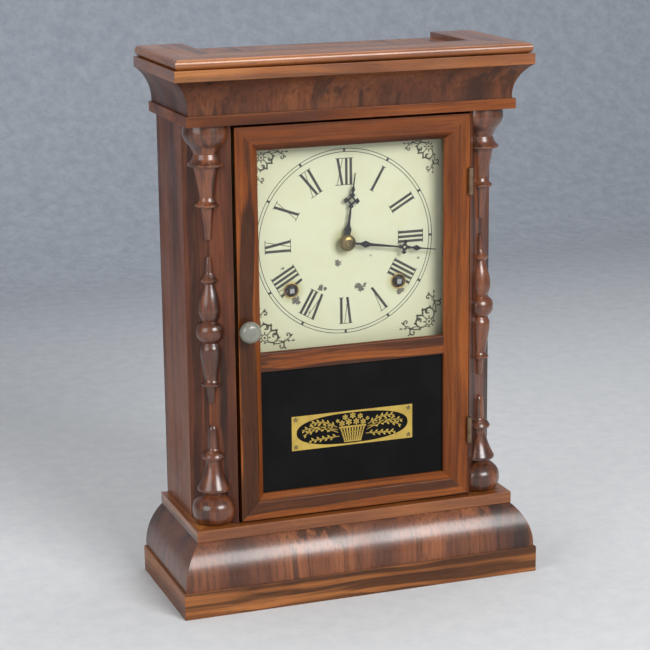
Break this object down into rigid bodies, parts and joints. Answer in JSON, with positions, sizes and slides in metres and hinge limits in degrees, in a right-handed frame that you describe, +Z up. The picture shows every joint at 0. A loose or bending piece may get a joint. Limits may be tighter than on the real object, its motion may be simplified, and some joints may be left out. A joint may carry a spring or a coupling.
{
  "type": "cottage clock",
  "caption": "Small veneered mantel clock with canted corners, split turnings, a hinged glazed door, a painted dial, hands on geared motion work, spring trains, a gong and a pendulum.",
  "frame": {"origin": "centre of the footprint on the surface that it stands on", "axes": "+Z up, -Y towards the viewer of the dial, +X to the viewer's right, where the door is hinged"},
  "size_m": [0.299, 0.1216, 0.4319],
  "materials": {
    "veneer_upright": "rosewood veneer, grain upright, old shellac",
    "veneer_moulding": "rosewood veneer laid across the moulding, old shellac",
    "veneer_lengthwise": "rosewood veneer, grain lengthwise, old shellac",
    "turned_wood": "turned and stained, glossy shellac",
    "plain_wood": "plain softwood, aged, unfinished",
    "dial_paint": "cream paint on sheet metal, aged",
    "brass": "dull brass",
    "hinge_metal": "tarnished brass",
    "steel": "plain steel",
    "blued_steel": "blackened steel",
    "iron": "black japanned iron",
    "clear_glass": "clear",
    "painted_glass": "painted black behind, with a gilt ornament",
    "porcelain": "grey glaze"
  },
  "bodies": {
    "case": {"plinth": "veneer_lengthwise", "cushion_front": "veneer_moulding", "cushion_sides": "veneer_moulding", "base_rails": "plain_wood", "shelf_board": "veneer_lengthwise", "side_left": "veneer_upright", "side_right": "veneer_upright", "post_left": "veneer_upright", "post_right": "veneer_upright", "backboard": "plain_wood", "top_board": "veneer_lengthwise", "cove_front": "veneer_moulding", "cove_sides": "veneer_moulding", "cornice_core": "plain_wood", "crown_strips": "veneer_lengthwise", "cap_front": "veneer_lengthwise", "cap_sides": "veneer_lengthwise", "top_panel": "veneer_lengthwise", "lower_turnings": "turned_wood", "middle_turnings": "turned_wood", "upper_turnings": "turned_wood", "dial": "dial_paint", "dial_cleats": "plain_wood", "dial_eyelets": "brass", "hinge_leaves_case": "hinge_metal", "gong_base": "iron", "gong_coil": "steel", "movement_front_plate": "brass", "movement_back_plate": "brass", "movement_pillars": "steel", "movement_cocks": "steel"},
    "door": {"door_stile_latch": "veneer_upright", "door_stile_hinge": "veneer_upright", "door_rail_top": "veneer_lengthwise", "door_rail_bottom": "veneer_lengthwise", "door_rail_middle": "veneer_lengthwise", "dial_glass": "clear_glass", "tablet_glass": "painted_glass", "hinge_leaves_door": "hinge_metal"},
    "knob": {"door_knob": "porcelain", "door_latch": "steel"},
    "minute": {"minute_hand": "blued_steel", "centre_arbor": "steel"},
    "hour": {"hour_hand": "blued_steel", "hour_wheel": "brass"},
    "minute_wheel": {"minute_wheel": "brass"},
    "going_great_wheel": {"going_great_wheel": "brass"},
    "going_winding_arbor": {"going_winding_arbor": "steel"},
    "second_wheel": {"second_wheel": "brass"},
    "centre_wheel": {"centre_wheel": "brass"},
    "third_wheel": {"third_wheel": "brass"},
    "escape_wheel": {"escape_wheel": "brass"},
    "verge": {"verge": "steel"},
    "pendulum": {"pendulum": "brass"},
    "strike_great_wheel": {"strike_great_wheel": "brass"},
    "strike_winding_arbor": {"strike_winding_arbor": "steel"},
    "strike_second_wheel": {"strike_second_wheel": "brass"},
    "locking_wheel": {"locking_wheel": "brass"},
    "fly": {"fly": "brass"},
    "hammer": {"hammer": "steel"}
  },
  "joints": [
    {"name": "door_hinge", "type": "hinge", "parent": "case", "child": "door", "pos_m": [0.09775, -0.04135, 0.1107], "axis": [0, 0, 1], "range_deg": [0, 150]},
    {"name": "knob_turn", "type": "hinge", "parent": "door", "child": "knob", "pos_m": [-0.0882, -0.03925, 0.2212], "axis": [0, 1, 0], "range_deg": [-90, 0]},
    {"name": "minute_arbor", "type": "hinge", "parent": "case", "child": "minute", "pos_m": [0, -0.01925, 0.2799], "axis": [0, 1, 0], "continuous": true},
    {"name": "hour_pipe", "type": "hinge", "parent": "case", "child": "hour", "pos_m": [0, -0.01925, 0.2799], "axis": [0, 1, 0], "continuous": true},
    {"name": "minute_wheel_spin", "type": "hinge", "parent": "case", "child": "minute_wheel", "pos_m": [0.01175, -0.01925, 0.27562], "axis": [0, 1, 0], "continuous": true},
    {"name": "third_wheel_spin", "type": "hinge", "parent": "case", "child": "third_wheel", "pos_m": [0.00654, -0.01925, 0.30299], "axis": [0, 1, 0], "continuous": true},
    {"name": "centre_wheel_spin", "type": "hinge", "parent": "case", "child": "centre_wheel", "pos_m": [0, -0.01925, 0.2799], "axis": [0, 1, 0], "continuous": true},
    {"name": "second_wheel_spin", "type": "hinge", "parent": "case", "child": "second_wheel", "pos_m": [0.01526, -0.01925, 0.25762], "axis": [0, 1, 0], "continuous": true},
    {"name": "going_great_wheel_spin", "type": "hinge", "parent": "case", "child": "going_great_wheel", "pos_m": [0.045, -0.01925, 0.2444], "axis": [0, 1, 0], "continuous": true},
    {"name": "escape_wheel_spin", "type": "hinge", "parent": "case", "child": "escape_wheel", "pos_m": [-0.009, -0.01925, 0.3129], "axis": [0, 1, 0], "continuous": true},
    {"name": "going_winding", "type": "hinge", "parent": "case", "child": "going_winding_arbor", "pos_m": [0.045, -0.01925, 0.2444], "axis": [0, 1, 0], "range_deg": [0, 1800]},
    {"name": "pendulum_swing", "type": "hinge", "parent": "case", "child": "pendulum", "pos_m": [-0.009, -0.01925, 0.3434], "axis": [0, 1, 0], "range_deg": [-3, 3]},
    {"name": "verge_rock", "type": "hinge", "parent": "case", "child": "verge", "pos_m": [-0.009, -0.01925, 0.3269], "axis": [0, 1, 0], "range_deg": [-5.1, 5.1]},
    {"name": "locking_wheel_spin", "type": "hinge", "parent": "case", "child": "locking_wheel", "pos_m": [-0.03809, -0.01925, 0.29892], "axis": [0, 1, 0], "continuous": true},
    {"name": "strike_second_wheel_spin", "type": "hinge", "parent": "case", "child": "strike_second_wheel", "pos_m": [-0.03387, -0.01925, 0.27499], "axis": [0, 1, 0], "continuous": true},
    {"name": "strike_great_wheel_spin", "type": "hinge", "parent": "case", "child": "strike_great_wheel", "pos_m": [-0.045, -0.01925, 0.2444], "axis": [0, 1, 0], "continuous": true},
    {"name": "fly_spin", "type": "hinge", "parent": "case", "child": "fly", "pos_m": [-0.03074, -0.01925, 0.31165], "axis": [0, 1, 0], "continuous": true},
    {"name": "strike_winding", "type": "hinge", "parent": "case", "child": "strike_winding_arbor", "pos_m": [-0.045, -0.01925, 0.2444], "axis": [0, 1, 0], "range_deg": [0, 1800]},
    {"name": "hammer_lift", "type": "hinge", "parent": "case", "child": "hammer", "pos_m": [-0.033, -0.01925, 0.214], "axis": [0, 1, 0], "range_deg": [0, 20]}
  ],
  "couplings": [
    {"joint": "hour_pipe", "follows": "minute_arbor", "ratio": 0.083333},
    {"joint": "minute_wheel_spin", "follows": "minute_arbor", "ratio": -0.33333},
    {"joint": "centre_wheel_spin", "follows": "third_wheel_spin", "ratio": -0.11111},
    {"joint": "second_wheel_spin", "follows": "third_wheel_spin", "ratio": 0.019324},
    {"joint": "going_great_wheel_spin", "follows": "third_wheel_spin", "ratio": -0.0028628},
    {"joint": "escape_wheel_spin", "follows": "third_wheel_spin", "ratio": -8.5714},
    {"joint": "verge_rock", "follows": "pendulum_swing", "ratio": 1.6875},
    {"joint": "strike_second_wheel_spin", "follows": "locking_wheel_spin", "ratio": -0.17391},
    {"joint": "strike_great_wheel_spin", "follows": "locking_wheel_spin", "ratio": 0.025765},
    {"joint": "fly_spin", "follows": "locking_wheel_spin", "ratio": -6}
  ]
}
